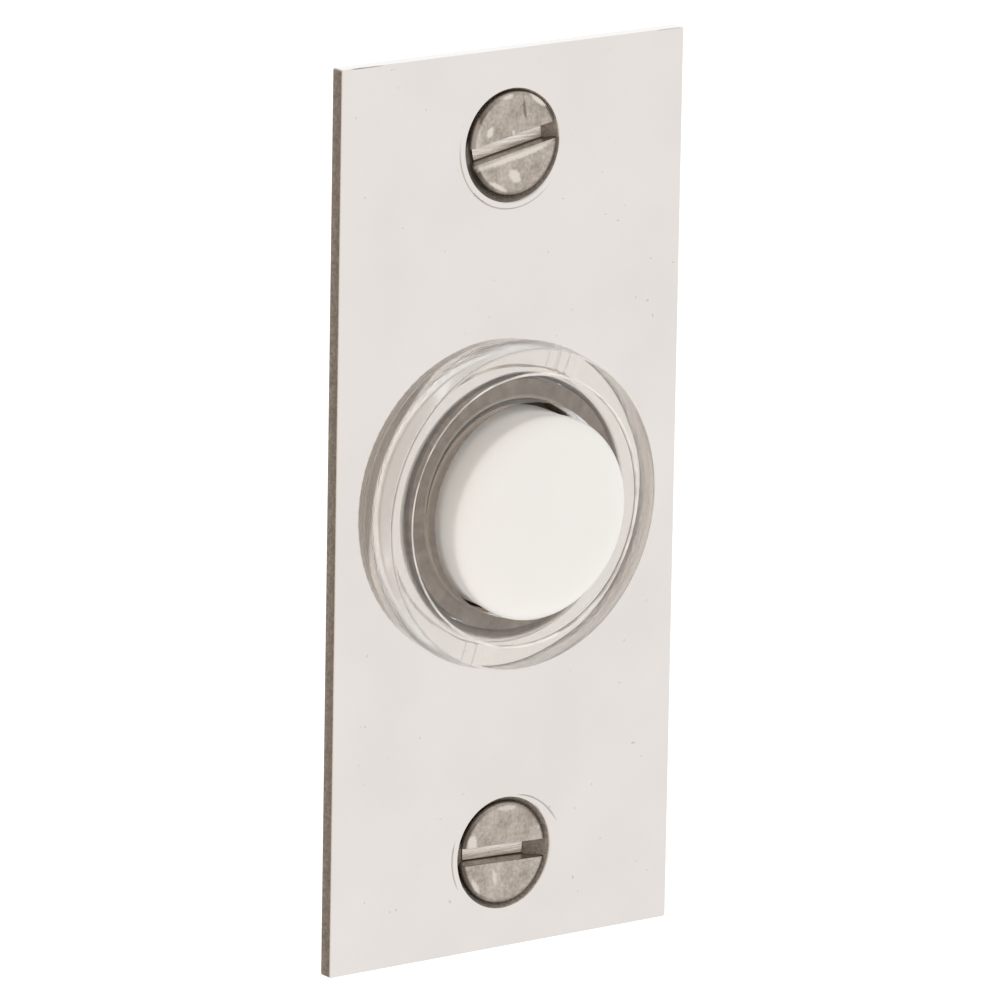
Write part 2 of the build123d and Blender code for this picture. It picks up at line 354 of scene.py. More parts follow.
def axes(tree):
    """Position on the piece along X, Y and Z, in metres."""
    return add(tree, "ShaderNodeSeparateXYZ", {0: place(tree)}).outputs


def painted(tree, name):
    """Value that the mesh carries under a name."""
    return add(tree, "ShaderNodeAttribute", attribute_name=name).outputs["Fac"]


def mottle(tree, size, detail=3.0, stretch=(1.0, 1.0, 1.0), roughness=0.5):
    """Noise from 0 to 1 whose spots are about size millimetres across, drawn out by stretch."""
    scale = [1 / (size * MM * s) for s in stretch]
    spot = add(tree, "ShaderNodeMapping", {"Vector": place(tree), "Scale": scale})
    wanted = {"Vector": spot.outputs["Vector"], "Scale": 1.0, "Detail": detail, "Roughness": roughness}
    return add(tree, "ShaderNodeTexNoise", wanted).outputs["Fac"]


def remap(tree, value, low, high, new_low, new_high):
    """Value rescaled from one range to another, held at its ends."""
    limits = {"From Min": low, "From Max": high, "To Min": new_low, "To Max": new_high}
    return add(tree, "ShaderNodeMapRange", {"Value": value, **limits}).outputs["Result"]


def fade(tree, value, start, full, most=1.0):
    """0 before one place and most from another on. The value is in metres, the places in millimetres."""
    return remap(tree, value, start * MM, full * MM, 0.0, most)


def combine(tree, operation, first, second=0.0):
    """Result of a sum on two values."""
    return add(tree, "ShaderNodeMath", {0: first, 1: second}, operation=operation).outputs["Value"]


def measure(tree, operation, output, first, second=(0.0, 0.0, 0.0)):
    """Named output of a sum on two vectors."""
    return add(tree, "ShaderNodeVectorMath", {0: first, 1: second}, operation=operation).outputs[output]


def blend(tree, factor, first, second):
    """Value between two others."""
    return add(tree, "ShaderNodeMix", {0: factor, 2: first, 3: second}).outputs[0]


def tint(tree, factor, first, second):
    """Colour between two others."""
    node = add(tree, "ShaderNodeMix", data_type="RGBA")
    ends = [(0, factor), (6, first), (7, second)]
    for index, value in ends:
        if isinstance(value, bpy.types.NodeSocket):
            tree.links.new(value, node.inputs[index])
        else:
            node.inputs[index].default_value = (*value, 1.0)
    return node.outputs[2]


def relief(tree, height, depth):
    """Surface normal from a height field that is depth millimetres from low to high."""
    wanted = {"Height": height, "Distance": depth * MM, "Strength": 1.0}
    return add(tree, "ShaderNodeBump", wanted).outputs["Normal"]


def band(tree, value, low, high, soft):
    """1 where a value lies between two limits, fading in and out over a soft width, all in millimetres."""
    over = fade(tree, value, low, low + soft)
    under = fade(tree, value, high, high - soft)
    return combine(tree, "MULTIPLY", over, under)


def reach(tree, across=0.0, up=0.0):
    """Distance from an axis through the plate at x and z, in metres."""
    spot = measure(tree, "SUBTRACT", "Vector", place(tree), (across * MM, 0, up * MM))
    flat = measure(tree, "MULTIPLY", "Vector", spot, (1, 0, 1))
    return measure(tree, "LENGTH", "Value", flat)


def cut_face(tree, along, size):
    """1 on the two cut faces that end the plate along one axis."""
    distance = combine(tree, "ABSOLUTE", along)
    return fade(tree, distance, *[size / 2 - skin for skin in CUT_SKIN])


def hole_dirt(tree, level):
    """Dirt in the plate's holes, and the part of the plate where it belongs to the hole for the push."""
    upper, lower = [fade(tree, reach(tree, *screw["hole"]), *SINK_DIRT) for screw in (UPPER, LOWER)]
    middle = fade(tree, reach(tree), *ROLL_DIRT)
    holes = combine(tree, "MAXIMUM", upper, combine(tree, "MAXIMUM", lower, middle))
    depth = combine(tree, "MULTIPLY", fade(tree, level, *DIRT_FRONT), fade(tree, level, *DIRT_BACK))
    return combine(tree, "MULTIPLY", holes, depth), middle


def nickel():
    """Polished nickel with smudges and specks, a brushed back, raw cut sides with painted shade towards the
    front, cut ends painted near white as a painted highlight, and dirt in the holes.
    """
    material, tree, shader = new_material("polished_nickel_finish")
    spot = axes(tree)
    sides = cut_face(tree, spot["X"], PLATE_WIDTH)
    ends = cut_face(tree, spot["Z"], PLATE_HEIGHT)
    dirty, middle = hole_dirt(tree, spot["Y"])
    grain = remap(tree, mottle(tree, 0.25, detail=5.0, roughness=0.7), 0.35, 0.65, 0.0, 1.0)

    smudge = remap(tree, mottle(tree, 9.0, detail=4.0), 0.35, 0.7, 0.0, 1.0)
    colour = tint(tree, smudge, (0.775, 0.732, 0.698), (0.805, 0.766, 0.732))
    speck = remap(tree, mottle(tree, 0.55, detail=1.0), 0.76, 0.8, 0.0, 0.5)
    colour = tint(tree, speck, colour, (0.5, 0.45, 0.41))
    colour = tint(tree, painted(tree, "mark"), colour, (0.2, 0.17, 0.145))
    raw = tint(tree, grain, (0.52, 0.46, 0.40), (0.86, 0.78, 0.70))
    raw = tint(tree, fade(tree, spot["Y"], *CUT_SHADE, 0.4), raw, (0.36, 0.315, 0.27))
    colour = tint(tree, sides, colour, raw)
    # painted highlight: the cut end faces are painted near white, a lit copy of the raw cut metal of the
    # sides
    colour = tint(tree, ends, colour, (0.98, 0.97, 0.96))
    dirt = tint(tree, middle, (0.17, 0.143, 0.12), (0.25, 0.188, 0.14))
    dust = tint(tree, middle, (0.36, 0.31, 0.265), (0.37, 0.29, 0.226))
    colour = tint(tree, dirty, colour, tint(tree, grain, dirt, dust))

    dull = combine(tree, "MAXIMUM", combine(tree, "MAXIMUM", sides, ends), dirty)
    polished = remap(tree, mottle(tree, 1.5, detail=5.0), 0.3, 0.7, 0.035, 0.07)
    brushed = remap(tree, mottle(tree, 0.25, stretch=(1.0, 1.0, 30.0)), 0.3, 0.7, 0.24, 0.4)
    gloss = blend(tree, fade(tree, spot["Y"], *BRUSHED_BACK), polished, brushed)
    gloss = blend(tree, dull, gloss, remap(tree, grain, 0.0, 1.0, 0.4, 0.55))
    height = blend(tree, dull, mottle(tree, 6.0, detail=2.0), grain)
    metal = remap(tree, dirty, 0.0, 1.0, 1.0, 0.1)
    connect(tree, shader, Base_Color=colour, Roughness=gloss, Metallic=metal)
    connect(tree, shader, Normal=relief(tree, height, 0.004))
    return material


def head_grime_and_shade(tree, spot):
    """Dirt and painted shade round the edge of a screw head, where it meets the countersink, heavier at its
    sides.
    """
    front = band(tree, spot["Y"], *GRIME_AND_SHADE_LEVELS, GRIME_AND_SHADE_SOFT)
    rim = fade(tree, reach(tree), *HEAD_GRIME_AND_SHADE)
    low, high = [distance * MM for distance in GRIME_AND_SHADE_ASIDE]
    sides = remap(tree, combine(tree, "ABSOLUTE", spot["X"]), low, high, 0.3, 0.9)
    return combine(tree, "MULTIPLY", front, combine(tree, "MULTIPLY", rim, sides))


def screw_steel():
    """Dull plated steel, mottled, with bright knocks and painted highlights and dark scratches where
    marked, grime and painted shade round the head's edge, bare where sawn, and painted shade in the slot's
    filled lower corner.
    """
    material, tree, shader = new_material("plated_steel_finish", Metallic=1.0)
    spot = axes(tree)
    grain = mottle(tree, 0.3, detail=8.0, roughness=0.7)
    drawn = mottle(tree, 0.12, detail=3.0, stretch=(25.0, 1.0, 1.0))
    shank = fade(tree, spot["Y"], *SHANK_FINISH, 0.75)
    mark = painted(tree, "mark")
    sawn = painted(tree, "sawn")

    tone = blend(tree, 0.45, grain, mottle(tree, 1.6, detail=3.0))
    tone = remap(tree, tone, 0.4, 0.6, 0.0, 1.0)
    colour = tint(tree, tone, (0.37, 0.32, 0.275), (0.61, 0.545, 0.485))
    colour = tint(tree, shank, colour, (0.52, 0.475, 0.43))
    # grime and painted shade: the head's edge is darkened where dirt lies and where shade falls in the gap
    # to the countersink, more at its sides
    colour = tint(tree, head_grime_and_shade(tree, spot), colour, (0.11, 0.092, 0.077))
    # painted highlights: the bright marks colour the head light where its rim and lip catch the light,
    # besides real knocks
    colour = tint(tree, remap(tree, mark, 0.0, 1.0, 0.0, 1.0), colour, (0.78, 0.72, 0.66))
    colour = tint(tree, remap(tree, mark, -1.0, 0.0, 1.0, 0.0), colour, (0.16, 0.13, 0.11))
    line = remap(tree, drawn, 0.35, 0.65, 0.0, 1.0)
    colour = tint(tree, sawn, colour, tint(tree, line, (0.56, 0.505, 0.455), (0.82, 0.765, 0.71)))
    # painted shade: the slot's filled lower corner is painted dark where shade falls
    colour = tint(tree, painted(tree, "corner_shade"), colour, (0.17, 0.145, 0.125))

    gloss = remap(tree, combine(tree, "ADD", grain, drawn), 0.7, 1.3, 0.48, 0.3)
    gloss = blend(tree, sawn, gloss, remap(tree, drawn, 0.3, 0.7, 0.1, 0.2))
    gloss = combine(tree, "SUBTRACT", gloss, combine(tree, "MULTIPLY", shank, 0.15))
    height = combine(tree, "ADD", grain, combine(tree, "MULTIPLY", drawn, 0.4))
    height = combine(tree, "MULTIPLY", height, combine(tree, "SUBTRACT", 1.0, shank))
    connect(tree, shader, Base_Color=colour, Roughness=gloss, Normal=relief(tree, height, 0.03))
    return material


def weld_haze(tree, spot, out):
    """Haze along the ring's weld lines, outside its rim."""
    across = combine(tree, "SUBTRACT", spot["X"], RING_ASIDE * MM)
    up = combine(tree, "ADD", spot["Z"], PUSH_DROP * MM)
    turn = combine(tree, "ARCTAN2", up, across)
    bevel = fade(tree, out, *BEVEL_START, WELD_HAZE)
    half = math.radians(WELD_WIDTH)
    haze = 0.0
    for angle in WELD_ANGLES:
        away = combine(tree, "SUBTRACT", turn, math.remainder(math.radians(angle), math.tau))
        line = remap(tree, combine(tree, "ABSOLUTE", away), 0.2 * half, half, 1.0, 0.0)
        haze = combine(tree, "MAXIMUM", haze, combine(tree, "MULTIPLY", line, bevel))
    return haze


def clear_plastic():
    """Clear moulded plastic with a faint warm cast, flow marks, hazy weld lines, a scuffed rim and wall."""
    material, tree, shader = new_material("clear_plastic_finish", IOR=1.49)
    spot = axes(tree)
    out = reach(tree, RING_ASIDE, -PUSH_DROP)
    flow = mottle(tree, 1.6, detail=3.0)
    wall = fade(tree, out, *RING_WALL)

    crest = fade(tree, spot["Y"], *SCUFF_LEVELS)
    rim = combine(tree, "MULTIPLY", crest, band(tree, out, *SCUFF_RADII, SCUFF_SOFT))
    uneven = remap(tree, mottle(tree, 2.5, detail=3.0), 0.35, 0.6, 0.35, 1.0)
    scuff = combine(tree, "MULTIPLY", rim, uneven)
    scuff = combine(tree, "MAXIMUM", scuff, weld_haze(tree, spot, out))
    scuff = combine(tree, "MAXIMUM", scuff, combine(tree, "MULTIPLY", wall, 0.15))

    colour = tint(tree, flow, (0.995, 0.99, 0.98), (0.985, 0.975, 0.96))
    colour = tint(tree, scuff, colour, (0.95, 0.89, 0.83))
    gloss = remap(tree, mottle(tree, 0.5), 0.3, 0.7, 0.015, 0.04)
    gloss = combine(tree, "ADD", gloss, combine(tree, "MULTIPLY", wall, 0.1))
    clear = remap(tree, scuff, 0.0, 1.0, 0.975, 0.2)
    connect(tree, shader, Base_Color=colour, Roughness=gloss, Transmission_Weight=clear)
    connect(tree, shader, Normal=relief(tree, flow, 0.004))
    return material


def white_plastic():
    """White moulded plastic, slightly warm, with a soft sheen."""
    material, tree, shader = new_material("white_plastic_finish", IOR=1.5, Subsurface_Weight=0.6)
    shader.inputs["Subsurface Scale"].default_value = 1.0 * MM
    shader.inputs["Subsurface Radius"].default_value = (1.0, 0.9, 0.8)
    colour = tint(tree, mottle(tree, 5.0, detail=3.0), (0.80, 0.785, 0.76), (0.815, 0.80, 0.775))
    gloss = remap(tree, mottle(tree, 1.5, detail=3.0), 0.3, 0.7, 0.28, 0.34)
    height = mottle(tree, 4.0, detail=2.0)
    connect(tree, shader, Base_Color=colour, Roughness=gloss, Normal=relief(tree, height, 0.003))
    return material


def scraped(tree, spot):
    """Noise drawn out into short lines towards the push axis."""
    turn = combine(tree, "ARCTAN2", spot["Z"], spot["X"])
    round_it = combine(tree, "MULTIPLY", turn, 9.0)
    out = combine(tree, "MULTIPLY", reach(tree), 0.25 / MM)
    along = add(tree, "ShaderNodeCombineXYZ", {0: round_it, 1: out}).outputs["Vector"]
    return add(tree, "ShaderNodeTexNoise", {"Vector": along, "Scale": 1.0, "Detail": 5.0}).outputs["Fac"]


def housing_phenolic():
    """Brown moulded phenolic with short scraped lines, paler on its faced rim and palest in the bore, where
    the pale colour is painted light in shade.
    """
    material, tree, shader = new_material("brown_phenolic_finish", IOR=1.55)
    spot = axes(tree)
    tone = blend(tree, 0.6, mottle(tree, 0.5, detail=6.0, roughness=0.6), scraped(tree, spot))
    tone = remap(tree, tone, 0.36, 0.64, 0.0, 1.0)
    bore = combine(tree, "MULTIPLY", fade(tree, reach(tree), *BORE_FILL_LIGHT), fade(tree, spot["Y"], *BORE_BACK))
    faced = fade(tree, spot["Y"], *RIM_FACED)
    barrel = tint(tree, tone, (0.055, 0.036, 0.025), (0.125, 0.085, 0.058))
    rim = tint(tree, tone, (0.225, 0.168, 0.125), (0.41, 0.322, 0.251))
    # painted light: the bore and the rim's edge beside it are painted pale where they lie in shade
    rim = tint(tree, bore, rim, (0.64, 0.541, 0.443))
    colour = tint(tree, combine(tree, "MAXIMUM", faced, bore), barrel, rim)
    gloss = remap(tree, mottle(tree, 0.3, detail=3.0), 0.3, 0.7, 0.55, 0.75)
    connect(tree, shader, Base_Color=colour, Roughness=gloss, Normal=relief(tree, tone, 0.02))
    return material


def phenolic(name, dark, light):
    """Moulded phenolic with wood-flour mottling and a dull skin."""
    material, tree, shader = new_material(name, IOR=1.55)
    grain = mottle(tree, 0.5, detail=6.0, roughness=0.6)
    colour = tint(tree, remap(tree, grain, 0.35, 0.68, 0.0, 1.0), dark, light)
    gloss = remap(tree, mottle(tree, 0.3, detail=3.0), 0.3, 0.7, 0.32, 0.5)
    connect(tree, shader, Base_Color=colour, Roughness=gloss, Normal=relief(tree, grain, 0.02))
    return material


def drawn_metal(name, dark, light, lines, low_gloss, high_gloss):
    """Rolled or drawn metal with lines along one axis and patches of tarnish."""
    material, tree, shader = new_material(name, Metallic=1.0)
    tarnish = mottle(tree, 1.8, detail=5.0)
    line = mottle(tree, 0.06, detail=3.0, stretch=lines)
    colour = tint(tree, remap(tree, tarnish, 0.35, 0.7, 0.0, 1.0), dark, light)
    gloss = remap(tree, line, 0.3, 0.7, low_gloss, high_gloss)
    connect(tree, shader, Base_Color=colour, Roughness=gloss, Normal=relief(tree, line, 0.008))
    return material


def floor_white():
    """Pale matt floor."""
    material, tree, shader = new_material("floor_white", Roughness=0.9, Emission_Strength=0.35)
    shader.inputs["Emission Color"].default_value = (1.0, 1.0, 1.0, 1.0)
    colour = tint(tree, mottle(tree, 40.0), (0.92, 0.92, 0.92), (0.95, 0.95, 0.95))
    connect(tree, shader, Base_Color=colour)
    return material


def eased(corners, steps=6):
    """Profile from (radius, y, rounding) corners, each rounded corner replaced by a short arc."""
    points = []
    for index, (radius, y, rounding) in enumerate(corners):
        here = Vector((radius, y))
        if rounding == 0:
            points.append((radius, y))
            continue
        before = (Vector(corners[index - 1][:2]) - here).normalized()
        after = (Vector(corners[(index + 1) % len(corners)][:2]) - here).normalized()
        half = before.angle(after) / 2
        middle = here + (before + after).normalized() * rounding / math.sin(half)
        first = here + before * rounding / math.tan(half) - middle
        last = here + after * rounding / math.tan(half) - middle
        start = math.atan2(first.y, first.x)
        sweep = math.remainder(math.atan2(last.y, last.x) - start, math.tau)
        for step in range(steps + 1):
            angle = start + sweep * step / steps
            points.append((middle.x + rounding * math.cos(angle), middle.y + rounding * math.sin(angle)))
    return points


def even_angles(count):
    """Angles round a full turn."""
    return [math.tau * index / count for index in range(count)]


def close_mesh(bm, name):
    """Object from mesh data in millimetres, with its faces turned outwards."""
    bmesh.ops.remove_doubles(bm, verts=bm.verts, dist=1e-5)
    bmesh.ops.recalc_face_normals(bm, faces=bm.faces)
    bmesh.ops.scale(bm, vec=(MM, MM, MM), verts=bm.verts)
    mesh = bpy.data.meshes.new(name)
    bm.to_mesh(mesh)
    bm.free()
    piece = bpy.data.objects.new(name, mesh)
    bpy.context.scene.collection.objects.link(piece)
    return piece


def smooth(piece, angle=32):
    """Smooth shading with creases kept, weighted so that flats stay flat beside small rounds."""
    mesh = piece.data
    mesh.polygons.foreach_set("use_smooth", [True] * len(mesh.polygons))
    mesh.set_sharp_from_angle(angle=math.radians(angle))
    weighted = piece.modifiers.new("flat_faces", "WEIGHTED_NORMAL")
    weighted.keep_sharp = True


def strips(bm, loops, joined=False):
    """Faces between each loop of vertices and the next. A loop of one vertex makes a fan."""
    pairs = list(zip(loops, loops[1:]))
    if joined:
        pairs.append((loops[-1], loops[0]))
    for one, two in pairs:
        count = max(len(one), len(two))
        for index in range(count):
            after = (index + 1) % count
            corners = [one[index % len(one)], one[after % len(one)]]
            corners += [two[after % len(two)], two[index % len(two)]]
            corners = list(dict.fromkeys(corners))
            if len(corners) > 2:
                bm.faces.new(corners)


def turned_loops(bm, profile, angles, centre=(0.0, 0.0), warp=None):
    """Loops of vertices about an axis through x and z, one for each (radius, y) point of a profile."""
    loops = []
    for radius, y in profile:
        loop = []
        for angle in angles if radius > 1e-6 else angles[:1]:
            r, level = warp(radius, y, angle) if warp else (radius, y)
            x = centre[0] + r * math.cos(angle)
            z = centre[1] + r * math.sin(angle)
            loop.append(bm.verts.new((x, level, z)))
        loops.append(loop)
    return loops


def turned(bm, profile, angles, warp=None):
    """Surface of revolution about the push axis. A profile off the axis is joined end to start."""
    loops = turned_loops(bm, profile, angles, warp=warp)
    strips(bm, loops, joined=all(len(loop) > 1 for loop in loops))


def fill_flat(bm, loops, normal):
    """Flat face bounded by an outer loop of vertices and the loops of its holes."""
    edges = []
    for loop in loops:
        edges += [bm.edges.get((one, two)) for one, two in zip(loop, loop[1:] + loop[:1])]
    bmesh.ops.triangle_fill(bm, edges=edges, normal=normal, use_beauty=True)


def plate_outline(inset):
    """Outline of the plate as (x, z) points, drawn in by inset, its corners slightly round."""
    radius = CORNER_ROUND - inset
    corners = []
    for quarter in range(4):
        diagonal = math.pi / 2 * (quarter + 0.5)
        across = math.copysign(PLATE_WIDTH / 2 - CORNER_ROUND, math.cos(diagonal))
        up = math.copysign(PLATE_HEIGHT / 2 - CORNER_ROUND, math.sin(diagonal))
        for step in range(CORNER_STEPS + 1):
            angle = math.pi / 2 * (quarter + step / CORNER_STEPS)
            corners.append(Vector((across + radius * math.cos(angle), up + radius * math.sin(angle))))
    points = []
    for index, here in enumerate(corners):
        after = corners[(index + 1) % len(corners)]
        pieces = EDGE_PIECES if index % (CORNER_STEPS + 1) == CORNER_STEPS else 1
        points += [here.lerp(after, piece / pieces) for piece in range(pieces)]
    return points


def outer_edge(bm):
    """Loops of the plate's outer edge, eased at the front and back, with dirt on the top edge's front."""
    layer = bm.verts.layers.float["mark"]
    rim = []
    for turn in QUARTER_TURN:
        level = PLATE_FRONT + EDGE_ROUND * (1 - math.cos(turn))
        rim.append((EDGE_ROUND * (1 - math.sin(turn)), level))
    rim += [(inset, PLATE_FRONT - y) for inset, y in reversed(rim)]
    loops = [[bm.verts.new((x, y, z)) for x, z in plate_outline(inset)] for inset, y in rim]
    for vert in loops[1] + loops[2] + loops[3]:
        for start, end, strength in EDGE_DIRT:
            if start < vert.co.x < end and vert.co.z > PLATE_HEIGHT / 2 - CORNER_ROUND:
                vert[layer] = strength
    return loops


def push_hole(bm):
    """Loops of the hole for the push, its front edge rolled in unevenly, with the seat behind it."""
    angles = even_angles(HOLE_SIDES)
    loops = []
    for turn in QUARTER_TURN:
        share = 1 - math.sin(turn)
        radius = HOLE_RADIUS + (ROLL_RADIUS - HOLE_RADIUS) * share
        level = PLATE_FRONT + HOLE_ROLL * (1 - math.cos(turn))
        loops += turned_loops(bm, [(radius, level)], angles, (ROLL_ASIDE * share, -ROLL_DROP * share))
    seat = [(HOLE_RADIUS, -SEAT_DEPTH), (SEAT_RADIUS, -SEAT_DEPTH), (SEAT_RADIUS, 0.0)]
    return loops + turned_loops(bm, seat, angles)


def lip_at(lips, angle):
    """Width of the lip round a countersink at an angle, and the share of its height that it has there."""
    for start, end, first, last in lips:
        share = (math.degrees(angle) - start) / (end - start)
        if 0 < share < 1:
            return first + (last - first) * share, min(1.0, LIP_ENDS * share, LIP_ENDS * (1 - share))
    return BARE_WIDTH, 0.0


def pressed_lip(bm, centre, lips, angles):
    """Loops of the plate's front round a countersink, with its pressed-up lip and a dirty crease."""
    layer = bm.verts.layers.float["mark"]
    loops = []
    for share, rise in LIP_PROFILE:
        loop = []
        for angle in angles:
            width, height = lip_at(lips, angle)
            radius = MOUTH_RADIUS + share * width
            x = centre[0] + radius * math.cos(angle)
            z = centre[1] + radius * math.sin(angle)
            vert = bm.verts.new((x, PLATE_FRONT - LIP_HEIGHT * rise * height, z))
            vert[layer] = CREASE_DIRT * max(0, -rise) * height
            loop.append(vert)
        loops.append(loop)
    return loops


def countersink(bm, screw, lips):
    """Loops of one screw hole, from the plate's front over its lip and through the hole to the back."""
    angles = even_angles(SCREW_SIDES)
    centre = screw["hole"]
    mouth = [(MOUTH_RADIUS + out, PLATE_FRONT + back) for out, back in MOUTH_BEVEL]
    mouth.append((MOUTH_RADIUS - MOUTH_TAPER, PLATE_FRONT + MOUTH_LAND))
    loops = pressed_lip(bm, centre, lips, angles)
    loops += turned_loops(bm, mouth, angles, centre)
    loops += turned_loops(bm, [(THROAT_RADIUS, THROAT)], angles, screw["head"])
    loops += turned_loops(bm, [(PRESSED_END, THROAT), (PRESSED_ROOT, 0.0)], angles, centre)
    return loops


def nickel_plate():
    """Plate with cut edges, a rolled hole for the push and countersinks pressed through."""
    bm = bmesh.new()
    bm.verts.layers.float.new("mark")
    groups = [outer_edge(bm), push_hole(bm)]
    groups += [countersink(bm, UPPER, UPPER_LIPS), countersink(bm, LOWER, LOWER_LIPS)]
    for loops in groups:
        strips(bm, loops)
    fill_flat(bm, [loops[0] for loops in groups], (0, -1, 0))
    fill_flat(bm, [loops[-1] for loops in groups], (0, 1, 0))
    plate = close_mesh(bm, "nickel_plate")
    smooth(plate)
    return plate


def clear_ring():
    """Clear ring with a bevelled front, rounded edges and the weld lines left by the moulding."""
    back = PLATE_FRONT - RING_LIFT
    # Radius, level and rounding of each corner
    corners = [
        (RING_BORE, back, 0),
        (RING_RADIUS + RING_FLARE, back, 0.05),
        (RING_RADIUS, RING_EDGE, 0.2),
        (RING_RIM_RADIUS + RING_RISE, RING_SHELF, 2.5),
        (RING_RIM_RADIUS, RING_RIM, 0.06),
        (RING_RIM_RADIUS - RING_CHAMFER, RING_FLAT, 0.1),
        (RING_BORE, RING_FLAT, 0.08),
    ]
    marks = [math.radians(angle) for angle in WELD_ANGLES]
    half = math.radians(WELD_WIDTH)
    angles = even_angles(RING_SIDES)
    for mark in marks:
        angles += [mark + half * step for step in (-1.0, -0.5, 0.0, 0.5, 1.0)]
    angles.sort()

    def weld(radius, y, angle):
        if radius < RING_RIM_RADIUS or y > RING_EDGE:
            return radius, y
        near = min(abs(math.remainder(angle - mark, math.tau)) for mark in marks)
        return radius, y + WELD_DEPTH * max(0.0, 1 - near / half)

    bm = bmesh.new()
    turned(bm, eased(corners), angles, weld)
    bmesh.ops.translate(bm, vec=(RING_ASIDE, 0, -PUSH_DROP), verts=bm.verts)
    ring = close_mesh(bm, "clear_ring")
    smooth(ring)
    return ring


def button_face():
    """Profile of the button's front, from the middle of its crown over the shoulder to its wall."""
    inner = BUTTON_RADIUS - BUTTON_SHOULDER
    crown_radius = (BUTTON_RADIUS**2 + BUTTON_CROWN**2) / (2 * BUTTON_CROWN)
    face = []
    for step in range(FACE_ROWS + 1):
        radius = BUTTON_RADIUS * math.sin(math.pi / 2 * step / FACE_ROWS)
        fall = crown_radius - math.sqrt(crown_radius**2 - radius**2)
        turn = min(1.0, max(0.0, (radius - inner) / BUTTON_SHOULDER))
        face.append((radius, BUTTON_FRONT + fall + BUTTON_FALL * (1 - math.sqrt(1 - turn**2))))
    return face


def white_button():
    """Button with a tapered wall, hollow skirt and stepped stem, leaning a little in its guide."""
    # Radius, level and rounding of each corner
    corners = [
        (BUTTON_RADIUS, BUTTON_UNDERSIDE, 0),
        (BUTTON_RADIUS, TAPER_START, 0),
        (SKIRT_RADIUS, SKIRT_START, 0),
        (SKIRT_RADIUS, SKIRT_END, 0.15),
        (BUTTON_RADIUS - BUTTON_WALL, SKIRT_END, 0.15),
        (BUTTON_RADIUS - BUTTON_WALL, BUTTON_UNDERSIDE, 0.4),
        (STEM_RADIUS, BUTTON_UNDERSIDE, 0.3),
        (STEM_RADIUS, STEM_STEP, 0.08),
        (STEM_TIP_RADIUS, STEM_STEP, 0.05),
        (STEM_TIP_RADIUS, STEM_END, 0.3),
        (0, STEM_END, 0),
    ]
    bm = bmesh.new()
    turned(bm, button_face() + eased(corners)[1:], even_angles(BUTTON_SIDES))
    lean = Matrix.Rotation(math.radians(BUTTON_LEAN), 3, "X")
    turn = Matrix.Rotation(math.radians(BUTTON_TURN), 3, "Z")
    bmesh.ops.rotate(bm, cent=(0, LEAN_CENTRE, 0), matrix=turn @ lean, verts=bm.verts)
    bmesh.ops.translate(bm, vec=(BUTTON_ASIDE, 0, -BUTTON_DROP), verts=bm.verts)
    button = close_mesh(bm, "white_button")
    smooth(button)
    return button


def thread(radius, y, angle):
    """Radius and level on a screw, y behind the top of its head, with the thread cut where it has one."""
    if y < THREAD_START:
        return radius, y
    taper = min(1.0, max(0.0, (SCREW_LENGTH - y) / POINT_LENGTH))
    turn = (y / THREAD_PITCH - angle / math.tau) % 1.0
    crest = max(0.0, 1 - abs(turn - 0.5) / THREAD_FLANK)
    run_in = min(1.0, max(0.0, (y - THREAD_START) / THREAD_PITCH))
    root = SHANK_RADIUS - (SHANK_RADIUS - ROOT_RADIUS) * run_in
    return (root + (SHANK_RADIUS - root) * crest) * taper**POINT_CURVE, y


def screw_profile():
    """Profile of a wood screw from the middle of its head to its point, before the thread is cut."""
    neck = HEAD_LAND + (HEAD_RADIUS - SHANK_RADIUS) / HEAD_SLOPE
    flat = [(HEAD_RADIUS * row / HEAD_ROWS, 0.0) for row in range(HEAD_FLAT_ROWS + 1)]
    corner = [(flat[-1][0], 0, 0), (HEAD_RADIUS, 0, HEAD_EDGE), (HEAD_RADIUS, HEAD_LAND, 0)]
    edge = eased(corner, 5)[1:-1]
    cone = [(HEAD_RADIUS, HEAD_LAND), (SHANK_RADIUS, neck)]
    cut = SCREW_LENGTH - THREAD_START
    rows = int(cut / THREAD_ROW)
    shank = [(SHANK_RADIUS, THREAD_START + cut * row / rows) for row in range(rows)]
    return flat + edge + cone + shank + [(0, SCREW_LENGTH)]


def wood_screw(name, screw, marks):
    """Slotted flat-head wood screw with a pressed, knocked head carrying painted highlights, and a cut
    thread.
    """
    bm = bmesh.new()
    turned(bm, screw_profile(), even_angles(SCREW_SIDES), thread)
    piece = close_mesh(bm, name)
    cut_slot(piece, screw)
    knock_and_highlight(piece, marks, screw["seed"])
    tag_slot(piece)
    smooth(piece, 40)
    piece.location = Vector((screw["head"][0], SCREW_TOP - screw["lift"], screw["head"][1])) * MM
    return piece


